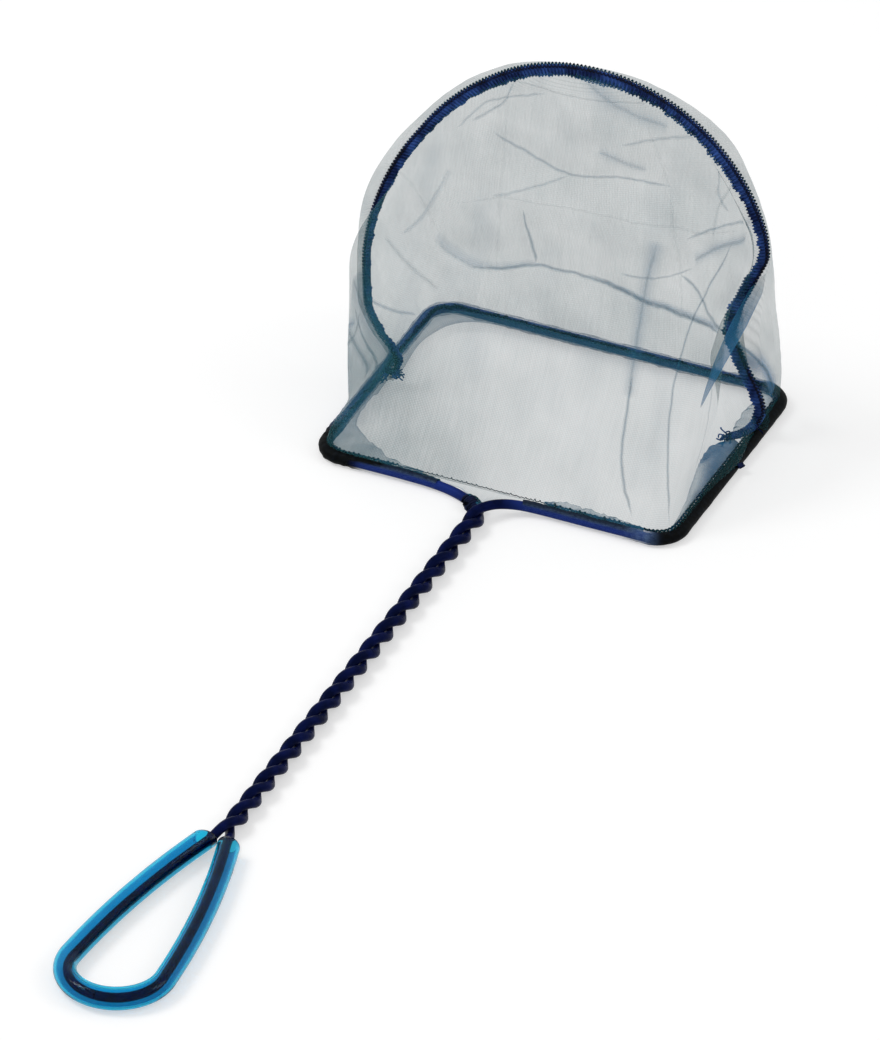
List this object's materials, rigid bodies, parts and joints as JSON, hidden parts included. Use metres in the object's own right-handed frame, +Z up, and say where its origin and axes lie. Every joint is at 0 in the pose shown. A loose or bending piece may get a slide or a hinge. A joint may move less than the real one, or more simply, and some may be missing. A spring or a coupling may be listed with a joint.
{
  "type": "aquarium fish net",
  "caption": "Small aquarium fish net: rectangular wire hoop with a sewn mesh bag, a twisted two-strand wire handle and a teardrop finger loop in a clear blue sleeve.",
  "frame": {"origin": "centre of the bounding box, on the table that the net lies on", "axes": "+Z up out of the table and into the bag, +Y from the finger loop towards the bag, +X to the right seen from the handle"},
  "size_m": [0.1092, 0.3208, 0.1084],
  "materials": {
    "vinyl_coated_wire": "glossy dark navy vinyl dip over steel wire",
    "clear_blue_vinyl": "clear cyan soft vinyl tube",
    "net_mesh": "fine see-through pale blue nylon net",
    "net_hem": "folded layers of blue nylon net",
    "seam_thread": "navy overlock thread"
  },
  "bodies": {
    "root": {"wire_frame": "vinyl_coated_wire", "grip_sleeve": "clear_blue_vinyl", "front_panel": "net_mesh", "rear_panel": "net_mesh", "arch_seam": "seam_thread", "front_left_hem": "net_hem", "front_right_hem": "net_hem", "rear_hem": "net_hem", "front_hem_stitching": "seam_thread", "rear_hem_stitching": "seam_thread"}
  },
  "joints": []
}
